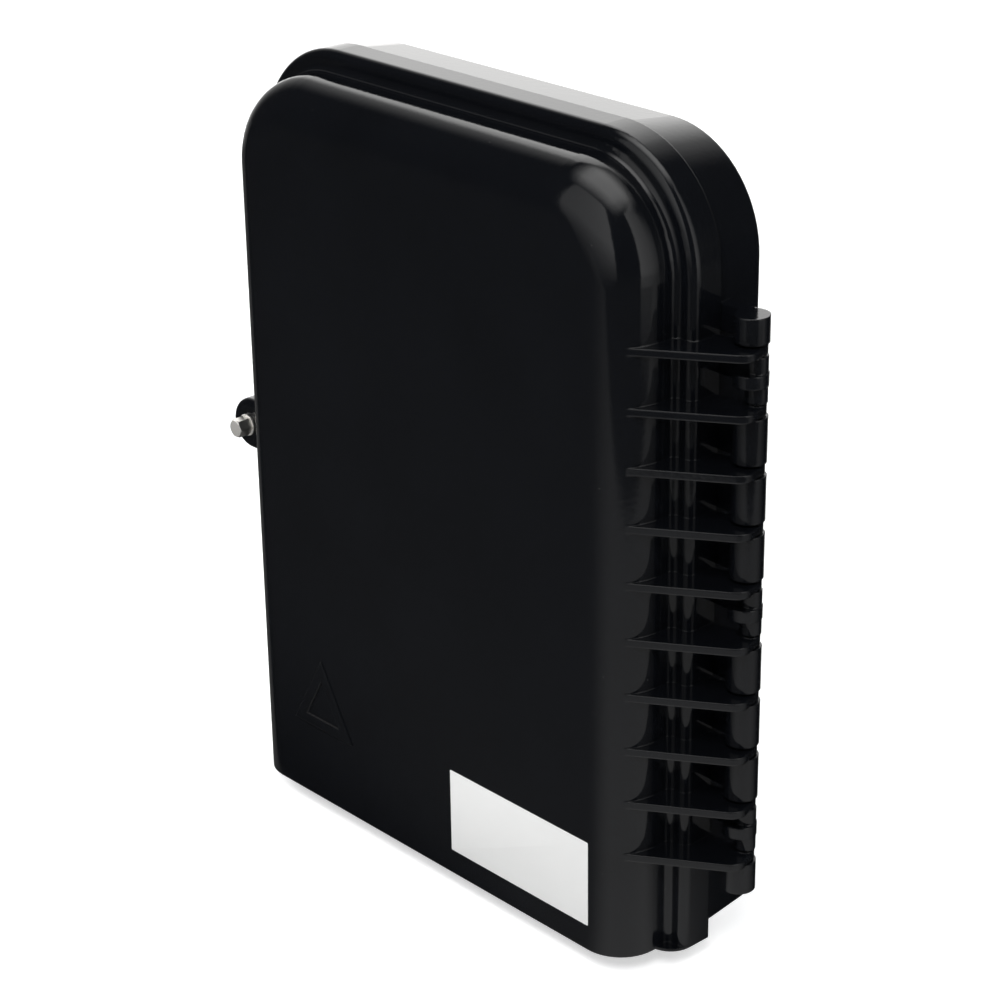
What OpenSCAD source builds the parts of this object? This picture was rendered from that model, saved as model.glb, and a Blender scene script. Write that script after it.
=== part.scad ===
// Wall-mounted fibre splice closure: a tapered base behind a domed lid on a ribbed knuckle hinge,
// with a swing-out tray for splices and adapters, and cable entries in the base's underside.
// Pieces are drawn lying on their back: x to the right, y up the wall, z out from the wall.
// upright() then stands them up, so that the wall is the plane y = 0 and the front faces -Y.

/* [Case] */
// Width of the lid over its skirt
case_w = 267; // [260:1:290]
// Height of the lid
case_h = 352; // [348:1:380]
// Depth from the wall to the front of the dome
case_d = 72; // [71:0.5:80]
// Radius of the two top corners of the skirt
corner_r = 52; // [48:1:56]

/* [Lid] */
// Wall thickness of the lid
lid_wall = 2.8; // [2.2:0.1:3.2]
// How far the dome stands in from the skirt
dome_step = 9.2; // [8.5:0.1:10]
// Radius of the dome's front edge
dome_round = 19.4; // [18:0.1:21]
// Radius of the ledge's outer edge
ledge_round = 3.9; // [3.5:0.1:4.4]
// Radius of the hollow where the dome stands on the ledge
foot_round = 3.2; // [2.8:0.1:3.6]
// Straight height of the skirt
skirt_h = 11.6; // [11:0.1:13]
// Thickness of the lip that closes the ledge at the lid's foot
lip_t = 1.2; // [1:0.1:2]
// Width of the blank label
label_w = 87; // [60:1:90]
// Height of the blank label
label_h = 40.6; // [30:0.2:42]
// Thickness of the blank label
label_t = 0.2; // [0.1:0.05:0.3]

/* [Base] */
// Depth of the base from the wall to the seam
base_d = 27.5; // [26.5:0.5:29]
// Wall thickness of the base
base_wall = 3; // [2.5:0.1:3.5]
// How far the base stands in from the lid's skirt at the seam
base_inset = 1.2; // [0.8:0.1:2]
// How much the base's sides draw in towards the wall
base_taper = 3; // [2:0.5:4]
// Radius of the base's rear edge
base_round = 3; // [2:0.5:3]
// How far the base's underside stands above the lid's
base_lift = 8; // [6:0.5:9]
// Gap between lid and base at the seam
seam_gap = 0.3; // [0.2:0.05:0.4]

/* [Seal] */
// Width of the base's rim
rim_w = 9; // [8.5:0.5:10]
// Depth of the base's rim
rim_depth = 6; // [5.5:0.5:7]
// Width of the gasket groove in the rim
groove_w = 4; // [3.6:0.1:4.4]
// Depth of the gasket groove
groove_depth = 4; // [3.4:0.1:4.5]
// Height of the gasket in its groove
gasket_h = 2.5; // [2:0.1:2.8]
// Thickness of the lid's sealing tongue
tongue_t = 1.8; // [1.4:0.1:2.2]

/* [Hinge] */
// How far the hinge axis lies outside the skirt
hinge_out = 17.8; // [17.5:0.1:20]
// How far the hinge axis lies behind the seam
hinge_back = 1.8; // [1.6:0.1:2.4]
// Radius of the hinge pin
pin_r = 2; // [1.5:0.1:2.2]
// Radius of the plain barrel of a knuckle
barrel_r = 4.6; // [4.4:0.1:5]
// Radius of the drum in front of a full knuckle
drum_r = 7.2; // [6.8:0.1:7.6]
// Radius of a rib's eye round the pin
eye_r = 4.2; // [4:0.1:4.6]
// Radius of a rib's outer corner
rib_corner_r = 7; // [6.5:0.1:7.4]
// Least distance from the last rib to the lid's foot
rib_foot = 45; // [30:1:49]
// Distance from rib to rib
rib_pitch = 25; // [22:0.5:25]
// Thickness of a rib
rib_t = 3.2; // [2.4:0.1:3.4]
// Thickness of a rib's eye
eye_t = 4.1; // [3.6:0.1:5]
// Drop from the top of the lid to the first rib
rib_drop = 77.6; // [74:0.2:80]
// Gap between an eye and a knuckle
knuckle_gap = 0.8; // [0.5:0.1:1]
// Height of the top knuckle
top_knuckle_h = 11; // [9:0.5:13]
// Height of the bottom knuckle
low_knuckle_h = 13.5; // [12:0.5:15]

/* [Lock] */
// How far the lock bolt lies outside the skirt
lock_out = 13.5; // [13:0.1:15]
// Height of the lock bolt from the middle of the lid
lock_y = -13.5; // [-40:0.5:40]
// Radius of the lock ears
ear_r = 12.2; // [11:0.1:13]
// Height of the lid's ear above the seam
ear_h = 21.7; // [18:0.1:22]
// Depth of the base's ear behind the seam
base_ear_d = 12; // [11.5:0.5:14]
// Radius of the lock bolt's shank
bolt_r = 2.1; // [1.8:0.1:2.4]
// Width of the bolt's hexagon across its flats
bolt_flats = 8; // [7:0.1:8.4]
// Height of the bolt's head
bolt_head_h = 6.8; // [4:0.1:7.5]
// Radius of the washer under the bolt's head
washer_r = 5.2; // [4.9:0.1:6]
// Thickness of the washer
washer_t = 1; // [0.8:0.1:1.4]

/* [Tray] */
// Distance from the lid's top to the top of the swing tray
tray_drop = 49; // [46:1:52]
// Distance from the hinge side of the case in to the tray's own hinge
tray_hinge_in = 21.8; // [21:0.1:24]
// Distance from the lock side of the case in to the tray's free edge
tray_side_gap = 29.2; // [27:0.1:32]
// Thickness of the tray's floor
tray_t = 2; // [1.6:0.1:2.4]
// Height of the tray's rim above its floor
tray_rim_h = 8; // [6:0.5:10]
// Radius of the tray's hinge pins
tray_pin_r = 1.5; // [1.2:0.1:1.8]
// Number of splice slots in each comb
slot_count = 12; // [6:1:12]
// Distance from slot to slot
slot_pitch = 3.3; // [3:0.1:3.4]
// Length of a splice comb's slots
comb_l = 25; // [20:1:30]
// Radius of the fibre rings on the tray
ring_r = 33; // [30:1:34]
// Length of the splitter
splitter_l = 60; // [50:1:70]
// Width of the splitter
splitter_w = 12; // [10:0.5:13]
// Height of the splitter
splitter_h = 5; // [4:0.5:6]

/* [Adapters] */
// Number of adapters
adapter_count = 8; // [8:1:8]
// Distance from adapter to adapter
adapter_pitch = 16; // [14:0.5:17]
// Width of an adapter's body
adapter_w = 9.3; // [9:0.1:9.6]
// Depth of an adapter's body
adapter_d = 12.8; // [12.4:0.1:13.2]
// Length of an adapter's body
adapter_l = 28; // [25:0.5:30]
// Thickness of an adapter's flange
flange_t = 1.6; // [1.2:0.1:2]
// How far the flange stands out past the body at each end
flange_over = 4.6; // [4:0.1:5]
// Thickness of the adapter panel
panel_t = 2; // [1.5:0.1:2.4]
// Depth of the panel's foot on the tray
panel_foot = 12; // [11:0.5:14]
// Radius of the panel's screws
panel_screw_r = 1.5; // [1.2:0.1:1.7]

/* [Inside the base] */
// Radius of a fibre spool's drum
spool_r = 36; // [32:1:37]
// Wall thickness of a spool's drum
spool_wall = 2.2; // [1.6:0.1:2.6]
// Height of a spool
spool_h = 17; // [14:0.5:18]
// Thickness of a spool's foot and lips
spool_foot_t = 2; // [1.5:0.1:2.5]
// Gap between the two spools' feet
spool_gap = 15; // [12:1:18]
// Distance from the tray's top down to the spools' centres
spool_drop = 65; // [62:1:70]
// Height of the feeder clamps above the base's underside
clamp_up = 38; // [36:1:42]
// Length of a feeder clamp along its cable
clamp_l = 12; // [10:0.5:13]
// Radius of the clamps' screws
clamp_screw_r = 1.6; // [1.3:0.1:1.7]
// Height of the post that anchors a feeder's stiff centre
strength_h = 9; // [8:0.5:10]
// Height of the drop cables' guide comb above the base's underside
guide_up = 30; // [26:1:34]
// Length of the guide comb's walls
guide_l = 10; // [8:1:12]
// Thickness of the guide comb's walls
guide_t = 1.8; // [1.4:0.1:2.2]

/* [Cable entries] */
// Radius of the hole that a feeder cable passes through
feeder_r = 4.2; // [3.5:0.1:4.5]
// Gap between the two feeder clamps
clamp_gap = 2.4; // [2:0.1:4]
// Thickness of a gland's outer hexagon
gland_flange_t = 3.5; // [3:0.1:4]
// Length of a gland's outer thread
gland_thread_l = 9; // [8:0.5:10]
// Length of a gland's rubber seal
gland_seal_l = 2.2; // [1.8:0.1:3]
// Thickness of the nut's end
gland_cap_t = 2; // [1.5:0.1:2.5]
// Thickness of a gland's locknut
locknut_t = 3.5; // [3:0.1:4]
// Distance from the second gland to the first drop port
drop_start = 32; // [30:0.5:34]
// Number of drop-cable ports
drop_count = 8; // [4:1:8]
// Radius of a drop port
drop_r = 4.5; // [4:0.1:5]
// Thickness of a grommet's inner lip
grommet_t = 2; // [1.5:0.1:2.5]
// How far a grommet's outer lip stands out past its port
grommet_lip = 1.6; // [1.2:0.1:2]

/* [Wall fixing] */
// Distance from a side of the case in to the wall screws
fix_in = 53.5; // [52:0.5:56]
// Distance from the lid's top down to the upper wall screws
fix_drop = 36; // [34:1:38]
// Height of the lower wall screws above the base's underside
fix_up = 68; // [66:1:72]
// Radius of a wall screw's hole
fix_r = 2.75; // [2.25:0.05:3]

/* [Hidden] */
$fn = 64;

// Overrun of every cut
over = 1;
// Radial clearance of a pin that turns in its eye
pin_fit = 0.06;
// Clearance between pieces that lie against each other
seat = 0.1;
// Clearance of a piece that stands close to another
stand_off = 0.3;

// Lid and base
half_w = case_w / 2;
side_x = half_w - corner_r;
arc_y = case_h / 2 - corner_r;
lid_bottom = -case_h / 2;
base_bottom = lid_bottom + base_lift;
seam_z = base_d + seam_gap;
skirt_z = seam_z + skirt_h;
ledge_z = skirt_z + ledge_round;
lip_r = ledge_round * 3;
dome_u = corner_r - dome_step;
base_u = corner_r - base_inset;
base_rear_u = base_u - base_taper;

// Seal
seal_in = rim_w / 2;
seal_u = base_u - seal_in;
seal_y = base_bottom + seal_in;
gasket_w = groove_w - 2 * seat;
gasket_z = base_d - groove_depth;
tongue_z = gasket_z + gasket_h + stand_off;

// Hinge
hinge_x = half_w + hinge_out;
hinge_z = seam_z - hinge_back;
rib_top_y = case_h / 2 - rib_drop;
rib_count = floor((case_h - rib_drop - rib_foot) / rib_pitch) + 1;
rib_low_y = rib_top_y - (rib_count - 1) * rib_pitch;
// Where a rib's outer edge leaves the dome, as an angle round the dome's edge from the front
rib_start_a = 48;
rib_start_x = half_w - dome_step - dome_round * (1 - sin(rib_start_a));
rib_start_z = case_d - dome_round * (1 - cos(rib_start_a));
rib_corner_z = hinge_z + rib_corner_r * 1.3;
knuckle_h = rib_pitch - eye_t - 2 * knuckle_gap;
cut_web_h = knuckle_h * 0.28;
// Bays whose knuckle is cut back to a barrel on a thin web, counted from the top
cut_bays = [0, floor((rib_count - 2) / 2), rib_count - 2];
hinge_top_y = rib_top_y + eye_t / 2 + knuckle_gap + top_knuckle_h;
hinge_low_y = rib_low_y - eye_t / 2 - knuckle_gap - low_knuckle_h;

// Lock
lock_x = -half_w - lock_out;
ear_z = seam_z + ear_h;
ear_round = ear_r / 4;
ear_wall = lid_wall;
ear_top_t = ear_h / 4;
bolt_hole_r = bolt_r + pin_fit;
bolt_tube_r = bolt_r * 2.6;
washer_z = ear_z + seat;
bolt_head_z = washer_z + washer_t;
bolt_tube_z = seam_z + ear_h * 0.16;
bolt_tip_z = base_d - base_ear_d * 0.75;
retainer_t = washer_t;
insert_wall = bolt_r * 0.6;
insert_bore_r = bolt_r * 1.25;
insert_r = insert_bore_r + insert_wall;
insert_l = base_ear_d * 0.85;

// Tray and its hinge
tray_z = base_d;
tray_eye_r = tray_pin_r + tray_t + tray_pin_r / 3;
tray_axis_x = half_w - tray_hinge_in;
tray_axis_z = tray_z + tray_eye_r;
tray_left_x = tray_side_gap - half_w;
tray_right_x = tray_axis_x - 2 * tray_eye_r;
tray_w = tray_right_x - tray_left_x;
tray_wall = tray_t * 0.9;
tray_floor_z = tray_z + tray_t;
tray_round = tray_rim_h;
tray_eye_h = tray_eye_r * 2.5;
tray_eye_in = tray_eye_h * 0.9;
post_h = tray_eye_h * 0.8;
tray_pin_l = tray_eye_h + post_h + stand_off - seat;
comb_w = slot_count * slot_pitch + slot_pitch / 3;
comb_base_t = tray_t * 0.8;
comb_fin_h = tray_rim_h * 0.85;
comb_fin_t = slot_pitch / 3;

// Down the tray: the rings with the combs between them, then the splitter, the adapters and the patch leads
tray_top_y = case_h / 2 - tray_drop;
ring_x = tray_w * 0.3;
ring_y = tray_top_y - ring_r * 1.78;
comb_1_y = ring_y + comb_w * 0.58;
comb_2_y = ring_y - comb_w * 0.58;
splitter_y = comb_2_y - comb_w / 2 - splitter_w * 1.6;
panel_y = splitter_y - splitter_w / 2 - adapter_l * 1.725;
tray_low_y = panel_y - adapter_l * 1.775;
tray_h = tray_top_y - tray_low_y;
clip_t = tray_wall;
floor_gap = seat;

// Adapter panel
adapter_z = tray_floor_z + floor_gap + panel_t + flange_over + adapter_d / 2 + stand_off;
panel_h = adapter_z + adapter_d / 2 + flange_over + stand_off - tray_floor_z - floor_gap;
panel_w = adapter_count * adapter_pitch + adapter_w;
port_w = adapter_w * 0.78;
port_d = adapter_d * 0.75;
port_l = adapter_l * 0.4;
cap_l = adapter_w;
cap_stub_l = port_l * 0.7;
panel_screw_x = panel_w / 2 - panel_screw_r * 3;

// Wall screws
fix_x = half_w - fix_in;
fix_top_y = case_h / 2 - fix_drop;
fix_low_y = base_bottom + fix_up;

// Cable entries and what holds the cables; the entries' centre is midway between the rear wall and the rim
entry_z = (base_wall + base_d - rim_depth) / 2;
clamp_y = base_bottom + clamp_up;
clamp_w = 2 * (feeder_r + 6 * clamp_screw_r);
clamp_screw_x = clamp_w / 2 - 2 * clamp_screw_r;
saddle_t = feeder_r * 0.45;
gland_pitch = clamp_w + clamp_gap;
gland_x0 = -fix_x - gland_pitch / 2;
strength_y = clamp_y + clamp_l + strength_h * 1.5;
drop_x0 = gland_x0 + gland_pitch + drop_start;
drop_pitch = (half_w * 0.72 - drop_x0) / (drop_count - 1);
guide_y = base_bottom + guide_up;

// Spools
spool_x = spool_r + spool_h / 2 + spool_gap / 2;
spool_y = tray_top_y - spool_drop;

// Glands, which fill most of the height between the rear wall and the rim
gland_r = (base_d - rim_depth - base_wall) * 0.41;
gland_hex_r = gland_r * 1.4;
locknut_r = gland_r * 1.3;
gland_inner_l = base_wall + gland_flange_t * 2.4;
gland_end_z = gland_flange_t + gland_thread_l;
gland_nut_z = gland_flange_t + seat + stand_off;
gland_nut_l = gland_end_z - gland_nut_z + 2 * seat + gland_seal_l + gland_cap_t;

module upright() rotate([90, 0, 0]) children();

module both_sides() {
    children();
    mirror([1, 0, 0]) children();
}

// Carries a half section, drawn as distance out and height, down both sides to y = low and over the top
module over_the_top(low) {
    both_sides() {
        translate([side_x, arc_y, 0]) rotate_extrude(angle = 90) children();
        translate([side_x, arc_y, 0]) rotate([90, 0, 0]) linear_extrude(arc_y - low) children();
    }
    translate([-side_x, arc_y, 0]) rotate([90, 0, 90]) linear_extrude(2 * side_x) children();
}

// A plate across x and z, drawn for the right-hand side and mirrored to the left, from y = low
module cross_wall(low, thick) {
    both_sides() translate([side_x, low + thick, 0]) rotate([90, 0, 0]) linear_extrude(thick) children();
}

// Quarter of a disc, from its centre out and up
module quarter(r) {
    intersection() {
        circle(r = r);
        square(r);
    }
}

// Filled half section of the lid, w inside its outer skin
module lid_section(w) {
    low = w > 0 ? seam_z - over : seam_z;
    translate([0, low]) square([corner_r - w, skirt_z - low]);
    translate([0, low]) square([corner_r - ledge_round, ledge_z - w - low]);
    translate([corner_r - ledge_round, skirt_z]) quarter(ledge_round - w);
    difference() {
        translate([0, low]) square([dome_u + foot_round, ledge_z + foot_round - low]);
        translate([dome_u + foot_round, ledge_z + foot_round]) circle(r = foot_round + w);
    }
    translate([0, low]) square([dome_u - w, case_d - dome_round - low]);
    translate([dome_u - dome_round, case_d - dome_round]) quarter(dome_round - w);
    translate([0, low]) square([dome_u - dome_round, case_d - w - low]);
}

module lid_wall_section() {
    difference() {
        lid_section(0);
        lid_section(lid_wall);
    }
}

// Half section of the lip at the lid's foot, which fills the corner between the skirt and the dome
module lip_section() {
    lid_section(0);
    translate([corner_r - lip_r, skirt_z]) quarter(lip_r);
}

// The tongue that presses on the gasket, drawn from the gasket up into the ledge
module tongue_section() {
    intersection() {
        translate([seal_u - tongue_t / 2, seam_z - over]) square([tongue_t, case_d]);
        lid_section(lid_wall / 2);
    }
    translate([seal_u - tongue_t / 2, tongue_z]) square([tongue_t, seam_z - tongue_z]);
}

// Slope of a rib's straight outer edge, and where it touches the rib's outer corner
rib_run_x = hinge_x - rib_start_x;
rib_run_z = rib_corner_z - rib_start_z;
rib_run = sqrt(rib_run_x * rib_run_x + rib_run_z * rib_run_z);
rib_slope = atan2(rib_run_z, rib_run_x) + asin(rib_corner_r / rib_run);
rib_touch_x = hinge_x - rib_corner_r * sin(rib_slope);
rib_touch_z = rib_corner_z + rib_corner_r * cos(rib_slope);
// Slope of the edge from that corner down to the eye
eye_slope = asin((rib_corner_r - eye_r) / (rib_corner_z - hinge_z));

// A rib seen from below: x across, height out from the wall; it ends inside the lid's wall
module rib_outline() {
    difference() {
        union() {
            polygon([
                [rib_start_x, rib_start_z],
                [rib_touch_x, rib_touch_z],
                [hinge_x, rib_corner_z],
                [hinge_x + rib_corner_r * cos(eye_slope), rib_corner_z - rib_corner_r * sin(eye_slope)],
                [hinge_x + eye_r * cos(eye_slope), hinge_z - eye_r * sin(eye_slope)],
                [hinge_x - eye_r, hinge_z],
                [half_w, seam_z + hinge_back],
                [half_w - dome_step - dome_round, seam_z + hinge_back],
                [half_w - dome_step - dome_round, rib_start_z],
            ]);
            translate([hinge_x, rib_corner_z]) circle(r = rib_corner_r);
            translate([hinge_x, hinge_z]) circle(r = eye_r);
        }
        translate([side_x, 0]) lid_section(lid_wall / 2);
    }
}

module rib(y) {
    translate([0, y, 0]) {
        translate([0, rib_t / 2, 0]) rotate([90, 0, 0]) linear_extrude(rib_t) rib_outline();
        translate([hinge_x, eye_t / 2, hinge_z]) rotate([90, 0, 0]) cylinder(r = eye_r, h = eye_t);
    }
}

module pin_hole(low, high, r) {
    translate([hinge_x, high, hinge_z]) rotate([90, 0, 0]) cylinder(r = r, h = high - low);
}

// Half section of a lock ear: a flat-topped lug, with a rounded front edge where one is asked for
module ear_section(h, round) {
    square([ear_r, h - round]);
    if (round > 0) {
        square([ear_r - round, h]);
        translate([ear_r - round, h - round]) circle(r = round);
    }
}

// A lock ear from z = low, h high, whose straight part runs in to x = inner
module ear(low, h, round, inner) {
    translate([lock_x, lock_y, low]) {
        rotate([0, 0, 90]) rotate_extrude(angle = 180)
            intersection() {
                ear_section(h, round);
                square([ear_r, h]);
            }
        rotate([90, 0, 90]) linear_extrude(inner - lock_x) {
            ear_section(h, round);
            mirror([1, 0]) ear_section(h, round);
        }
    }
}

module lock_hole(r, low, high) {
    translate([lock_x, lock_y, low]) cylinder(r = r, h = high - low);
}

module lid_ear() {
    difference() {
        ear(seam_z, ear_h, ear_round, -half_w + dome_step);
        // Hollow behind the ear, round the bolt's tube
        difference() {
            translate([lock_x, lock_y, seam_z - over]) {
                cylinder(r = ear_r - ear_wall, h = ear_h - ear_top_t + over);
                translate([0, -ear_r + ear_wall, 0])
                    cube([lock_out, 2 * (ear_r - ear_wall), ear_h - ear_top_t + over]);
            }
            lock_hole(bolt_tube_r, bolt_tube_z, ear_z);
        }
        mirror([1, 0, 0]) translate([side_x, lock_y + ear_r + over, 0]) rotate([90, 0, 0])
            linear_extrude(2 * (ear_r + over)) lid_section(lid_wall / 2);
        lock_hole(bolt_hole_r, seam_z - over, ear_z + over);
    }
}

module lid_shell() {
    color([0.07, 0.075, 0.08]) upright() {
        difference() {
            union() {
                over_the_top(lid_bottom) lid_wall_section();
                translate([-side_x, lid_bottom, case_d - lid_wall])
                    cube([2 * side_x, arc_y - lid_bottom, lid_wall]);
                cross_wall(lid_bottom, lid_wall) lid_section(0);
                cross_wall(lid_bottom, lip_t) lip_section();
                translate([-side_x, lid_bottom, seam_z]) cube([2 * side_x, lid_wall, case_d - seam_z]);
                over_the_top(seal_y - tongue_t / 2) tongue_section();
                cross_wall(seal_y - tongue_t / 2, tongue_t) intersection() {
                    union() {
                        lid_section(lid_wall / 2);
                        translate([0, tongue_z]) square([seal_u, seam_z - tongue_z]);
                    }
                    translate([0, tongue_z]) square([seal_u + tongue_t / 2, case_d]);
                }
                translate([-side_x, seal_y - tongue_t / 2, tongue_z])
                    cube([2 * side_x, tongue_t, case_d - lid_wall / 2 - tongue_z]);
                for (i = [0 : rib_count - 1]) rib(rib_top_y - i * rib_pitch);
                lid_ear();
            }
            pin_hole(hinge_low_y, hinge_top_y, pin_r + pin_fit);
        }
    }
}

// Filled half section of the base
module base_filled() {
    polygon([
        [0, 0], [base_rear_u - base_round, 0], [base_rear_u, base_round],
        [base_u, base_d], [0, base_d],
    ]);
    translate([base_rear_u - base_round, base_round]) circle(r = base_round);
}

module base_cavity() {
    polygon([
        [0, base_wall], [base_rear_u - base_wall, base_wall],
        [base_u - base_wall, base_d + over], [0, base_d + over],
    ]);
}

module base_rim() {
    intersection() {
        base_filled();
        translate([base_u - rim_w, base_d - rim_depth]) square([rim_w, rim_depth]);
    }
}

module groove_section() {
    translate([seal_u - groove_w / 2, gasket_z]) square([groove_w, groove_depth + over]);
}

// Full knuckle between y = low and y = high: barrel, drum in front of it, and the web to the base's side
module knuckle(low, high) {
    drum_shift = (drum_r - barrel_r) * 0.62;
    translate([0, high, 0]) rotate([90, 0, 0]) linear_extrude(high - low) {
        translate([hinge_x, hinge_z]) circle(r = barrel_r);
        translate([hinge_x - drum_shift, hinge_z + drum_shift]) circle(r = drum_r);
        web_outline();
    }
}

module web_outline() {
    polygon([
        [half_w - base_inset - base_wall, hinge_z - barrel_r],
        [hinge_x, hinge_z - barrel_r],
        [hinge_x, base_d],
        [half_w - base_inset - base_wall, base_d],
    ]);
}

// Knuckle cut back to the barrel, on one thin web at mid height
module cut_knuckle(low, high) {
    middle = (low + high) / 2;
    translate([hinge_x, high, hinge_z]) rotate([90, 0, 0]) cylinder(r = barrel_r, h = high - low);
    knuckle(middle - cut_web_h / 2, middle + cut_web_h / 2);
}

function has(list, value) = len([for (v = list) if (v == value) v]) > 0;

module knuckles() {
    for (i = [0 : rib_count - 2]) {
        high = rib_top_y - i * rib_pitch - eye_t / 2 - knuckle_gap;
        if (has(cut_bays, i)) cut_knuckle(high - knuckle_h, high);
        else knuckle(high - knuckle_h, high);
    }
    knuckle(hinge_top_y - top_knuckle_h, hinge_top_y);
    knuckle(hinge_low_y, hinge_low_y + low_knuckle_h);
}

function fix_places() = [for (x = [-fix_x, fix_x]) for (y = [fix_low_y, fix_top_y]) [x, y]];

function gland_x(i) = gland_x0 + i * gland_pitch;

function drop_x(i) = drop_x0 + i * drop_pitch;

// Post beside a tray eye, with a hole for the tray's pin
module tray_post(low) {
    difference() {
        union() {
            translate([tray_axis_x, low + post_h, tray_axis_z]) rotate([90, 0, 0])
                cylinder(r = tray_eye_r, h = post_h);
            translate([tray_axis_x - tray_eye_r, low, base_wall / 2])
                cube([2 * tray_eye_r, post_h, tray_axis_z - base_wall / 2]);
        }
        translate([tray_axis_x, low + post_h + over, tray_axis_z]) rotate([90, 0, 0])
            cylinder(r = tray_pin_r + pin_fit, h = post_h + 2 * over);
    }
}

tray_eye_low_y = tray_low_y + tray_eye_in;
tray_eye_high_y = tray_top_y - tray_eye_in - tray_eye_h;
post_low_y = tray_eye_low_y - stand_off - post_h;
post_high_y = tray_eye_high_y + tray_eye_h + stand_off;

// Raised walls and posts that the base carries inside
module base_fittings() {
    tray_post(post_low_y);
    tray_post(post_high_y);
    // Rests under the tray's free edge
    for (y = [splitter_y - 2.5 * splitter_w, tray_top_y - tray_eye_h])
        translate([tray_left_x + tray_eye_r * 2, y, base_wall / 2])
            cylinder(r = tray_eye_r, h = tray_z - stand_off - base_wall / 2);
    // Bosses round the wall screws
    for (p = fix_places()) translate([p[0], p[1], base_wall / 2])
        cylinder(r = fix_r * 2.2, h = base_wall * 1.8);
    // Cradles under the feeder cables, and pillars for their clamps
    for (i = [0, 1]) translate([gland_x(i), 0, base_wall / 2]) {
        difference() {
            translate([-clamp_w / 2, clamp_y - clamp_l / 2, 0])
                cube([clamp_w, clamp_l, entry_z - base_wall / 2 - seat]);
            translate([0, clamp_y + clamp_l / 2 + over, entry_z - base_wall / 2]) rotate([90, 0, 0])
                cylinder(r = feeder_r, h = clamp_l + 2 * over);
            for (s = [-1, 1]) translate([s * clamp_screw_x, clamp_y, base_wall])
                cylinder(r = clamp_screw_r + pin_fit, h = entry_z);
        }
        difference() {
            translate([0, strength_y, 0]) cylinder(r = strength_h / 2, h = strength_h);
            translate([0, strength_y, base_wall]) cylinder(r = clamp_screw_r + pin_fit, h = strength_h);
        }
    }
    // Comb of guide walls above the drop ports
    for (i = [0 : drop_count])
        translate([drop_x(i) - drop_pitch / 2 - guide_t / 2, guide_y - guide_l / 2, base_wall / 2])
            cube([guide_t, guide_l, entry_z - base_wall / 2]);
}

module base_shell() {
    color([0.07, 0.075, 0.08]) upright() {
        difference() {
            union() {
                over_the_top(base_bottom) {
                    difference() {
                        base_filled();
                        base_cavity();
                    }
                    base_rim();
                }
                translate([-side_x, base_bottom, 0]) cube([2 * side_x, arc_y - base_bottom, base_wall]);
                cross_wall(base_bottom, base_wall) base_filled();
                translate([-side_x, base_bottom, 0]) cube([2 * side_x, base_wall, base_d]);
                cross_wall(base_bottom, rim_w) intersection() {
                    base_filled();
                    translate([0, base_d - rim_depth]) square([base_u, rim_depth]);
                }
                translate([-side_x, base_bottom, base_d - rim_depth]) cube([2 * side_x, rim_w, rim_depth]);
                knuckles();
                ear(base_d - base_ear_d, base_ear_d, 0, -half_w + base_inset + base_taper);
                base_fittings();
            }
            over_the_top(seal_y - groove_w / 2) groove_section();
            translate([-side_x - seal_u - groove_w / 2, seal_y - groove_w / 2, gasket_z])
                cube([2 * (side_x + seal_u) + groove_w, groove_w, groove_depth + over]);
            pin_hole(hinge_low_y - over, hinge_top_y - base_wall, pin_r + pin_fit);
            lock_hole(insert_r + seat, base_d - insert_l, base_d + over);
            lock_hole(insert_bore_r, base_d - base_ear_d - over, base_d);
            for (p = fix_places()) translate([p[0], p[1], -over]) cylinder(r = fix_r, h = base_d);
            for (i = [0, 1]) translate([gland_x(i), base_bottom + base_wall + over, entry_z])
                rotate([90, 0, 0]) cylinder(r = gland_r + seat, h = base_wall + 2 * over);
            for (i = [0 : drop_count - 1]) translate([drop_x(i), base_bottom + base_wall + over, entry_z])
                rotate([90, 0, 0]) cylinder(r = drop_r, h = base_wall + 2 * over);
        }
    }
}

module rim_gasket() {
    color([0.16, 0.16, 0.17]) upright() {
        over_the_top(seal_y - gasket_w / 2)
            translate([seal_u - gasket_w / 2, gasket_z]) square([gasket_w, gasket_h]);
        translate([-side_x - seal_u - gasket_w / 2, seal_y - gasket_w / 2, gasket_z])
            cube([2 * (side_x + seal_u) + gasket_w, gasket_w, gasket_h]);
    }
}

module blank_label() {
    color([0.93, 0.93, 0.92]) upright()
        translate([half_w - dome_step - dome_round - label_w, lid_bottom + dome_round * 0.62, case_d])
            cube([label_w, label_h, label_t]);
}

module hinge_pin() {
    color([0.6, 0.61, 0.62]) upright() pin_hole(hinge_low_y, hinge_top_y - base_wall - stand_off, pin_r);
}

module lock_bolt() {
    hex_r = bolt_flats / 2 / cos(30);
    color([0.78, 0.77, 0.73]) upright() translate([lock_x, lock_y, 0]) {
        intersection() {
            translate([0, 0, bolt_head_z]) cylinder(r = hex_r, h = bolt_head_h, $fn = 6);
            translate([0, 0, bolt_head_z])
                cylinder(r1 = hex_r + bolt_head_h, r2 = bolt_flats / 2, h = bolt_head_h);
        }
        translate([0, 0, bolt_tip_z]) cylinder(r = bolt_r, h = bolt_head_z - bolt_tip_z + over);
    }
}

module lock_washer() {
    color([0.8, 0.79, 0.75]) upright() difference() {
        lock_hole(washer_r, washer_z, bolt_head_z);
        lock_hole(bolt_r + pin_fit, washer_z - over, bolt_head_z + over);
    }
}

// Nylon ring that keeps the bolt in the lid's ear
module bolt_retainer() {
    color([0.85, 0.85, 0.82]) upright() difference() {
        lock_hole(bolt_tube_r, bolt_tube_z - seat - retainer_t, bolt_tube_z - seat);
        lock_hole(bolt_r + pin_fit, bolt_tube_z - 2 * retainer_t, bolt_tube_z);
    }
}

module lock_insert() {
    color([0.76, 0.6, 0.3]) upright() difference() {
        lock_hole(insert_r, base_d - insert_l + seat, base_d);
        lock_hole(insert_bore_r, base_d - insert_l - over, base_d + over);
    }
}

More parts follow.
